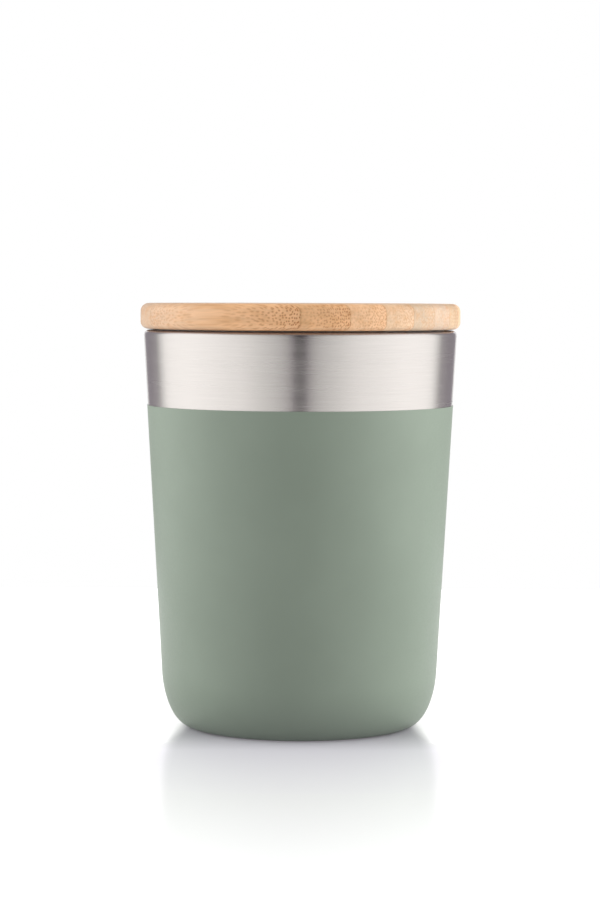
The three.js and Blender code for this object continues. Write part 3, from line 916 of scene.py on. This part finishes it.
def add_scrims():
    """A cylinder of lit cloth round the mug, brightest at both sides, dim behind the camera and open behind.

    Its light is a smooth curve over the angle from the camera, a little narrower on the right.
    """
    radius, low, high = 0.8, -0.5, 0.9
    sweep, columns = 160, 145
    # The light at each angle from the camera, in degrees
    stops = (
        (0, 0.02), (3, 0.05), (6, 0.36), (15, 0.68), (30, 0.95), (45, 1.2), (80, 1.46), (100, 1.46),
        (112, 1.38), (119, 1.1), (125, 0.72), (131, 0.42), (180, 0.36),
    )
    brightest, narrower = 1.6, 1.03
    # The cloth's dimmest parts are violet up to this share of the brightest light
    violet, violet_end = (0.9, 0.72, 0.95, 1), 0.35

    angle = np.radians(np.linspace(-sweep, sweep, columns))
    ring = np.stack([radius * np.sin(angle), -radius * np.cos(angle)], axis=1)
    lower = np.column_stack([ring, np.full(len(ring), low)])
    upper = np.column_stack([ring, np.full(len(ring), high)])
    first = np.arange(len(ring) - 1)
    faces = np.stack([first, first + 1, first + 1 + len(ring), first + len(ring)], axis=1)
    scrim = new_object("scrim", np.concatenate([lower, upper]), faces.tolist())
    material = bpy.data.materials.new("lit_cloth")
    material.use_nodes = True
    tree = material.node_tree
    tree.nodes.clear()
    place = add_node(tree, "SeparateXYZ", {0: add_node(tree, "TexCoord").outputs["Object"]})
    toward = add_node(tree, "Math", {0: place.outputs["Y"], 1: -1.0}, operation="MULTIPLY")
    azimuth = add_node(tree, "Math", {0: place.outputs["X"], 1: toward}, operation="ARCTAN2")
    left = add_node(tree, "Math", {0: azimuth, 1: -1.0}, operation="MULTIPLY")
    right = add_node(tree, "Math", {0: azimuth, 1: narrower}, operation="MULTIPLY")
    side = add_node(tree, "Math", {0: left, 1: right}, operation="MAXIMUM")
    share = add_node(tree, "Math", {0: side, 1: math.pi}, operation="DIVIDE")
    curve = add_node(tree, "FloatCurve", {"Value": share})
    points = curve.mapping.curves[0].points
    places = [(degrees / 180, light / brightest) for degrees, light in stops]
    points[0].location = places[0]
    points[-1].location = places[-1]
    for across, up in places[1:-1]:
        points.new(across, up)
    curve.mapping.update()
    strength = add_node(tree, "Math", {0: curve, 1: brightest}, operation="MULTIPLY")
    bright = add_node(tree, "MapRange", {0: curve, 1: 0.0, 2: violet_end})
    cool = add_node(tree, "Mix", {0: bright, 6: violet, 7: (1, 1, 1, 1)}, data_type="RGBA")
    glow = add_node(tree, "Emission", {"Color": cool.outputs[2], "Strength": strength})
    add_node(tree, "OutputMaterial", {"Surface": glow})
    scrim.data.materials.append(material)
    scrim.visible_camera = False


def light_group(name, piece, state):
    """What a lamp lights: this piece alone for INCLUDE, and all but this piece for EXCLUDE."""
    group = bpy.data.collections.new(name)
    group.objects.link(piece)
    group.collection_objects[0].light_linking.link_state = state
    return group


def add_softbox(name, azimuth, elevation, distance, size, power, group):
    """A square lamp that faces the mug's middle from this azimuth, 0 at the front, and elevation, in degrees.

    It lights what its light group says, and is itself seen neither directly nor in mirrors.
    """
    data = bpy.data.lights.new(name, "AREA")
    data.size = size
    data.energy = power
    lamp = bpy.data.objects.new(name, data)
    swing = Matrix.Rotation(math.radians(azimuth), 4, "Z")
    turn = swing @ Matrix.Rotation(math.radians(90 - elevation), 4, "X")
    middle = Matrix.Translation((0, 0, CUP_HEIGHT / 2))
    lamp.matrix_world = middle @ turn @ Matrix.Translation((0, 0, distance))
    lamp.visible_glossy = False
    lamp.visible_camera = False
    lamp.light_linking.receiver_collection = group
    bpy.context.scene.collection.objects.link(lamp)


scene = bpy.context.scene
scene.view_settings.view_transform = "Standard"
add_camera()
add_world()
floor = add_floor()
add_scrims()
off_the_floor = light_group("all_but_floor", floor, "EXCLUDE")
add_softbox(
    "left_softbox", azimuth=-98, elevation=28, distance=0.75, size=0.5, power=3.25, group=off_the_floor
)
add_softbox(
    "right_softbox", azimuth=90, elevation=28, distance=0.75, size=0.5, power=4.5, group=off_the_floor
)

steel = brushed_steel()
satin = satin_steel()
fitted(outer_wall(), steel, "mug", "brushed_steel", "outer_wall")
fitted(powder_coat(), sage_powder_coat(), "mug", "powder_coat", "powder_coat")
fitted(inner_wall(), satin, "mug", "satin_steel", "inner_wall")
fitted(inner_bottom(), satin, "mug", "satin_steel", "inner_bottom")
fitted(base_plate(), satin, "mug", "satin_steel", "base_plate")
fitted(copper_foil(), copper(), "mug", "copper_foil", "copper_foil")
fitted(closing_plate(), satin, "mug", "satin_steel", "closing_plate")
fitted(vent_seal(), solder_glass(), "mug", "solder_glass", "vent_seal")
fitted(getter(), getter_alloy(), "mug", "getter_alloy", "getter")
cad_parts["getter_bracket"].material_slots[0].material = satin
lid_disc = bamboo_disc()
fitted(lid_disc, bamboo(), "lid", "bamboo", *STRIPS)
fitted(lid_plug(), polypropylene(), "lid", "plug_plastic", "lid_plug")
fitted(lid_gasket(), silicone(), "lid", "silicone", "lid_gasket")

# The white board's light on the lid's lower edge, from just above the floor and more from the right
lid_alone = light_group("lid_alone", lid_disc, "INCLUDE")
to_floor = CUP_HEIGHT / 2 - 2 * MM
add_softbox(
    "floor_bounce", azimuth=0, elevation=-90, distance=to_floor, size=0.2, power=0.15, group=lid_alone
)
add_softbox(
    "right_bounce", azimuth=90, elevation=-65, distance=to_floor, size=0.2, power=0.09, group=lid_alone
)
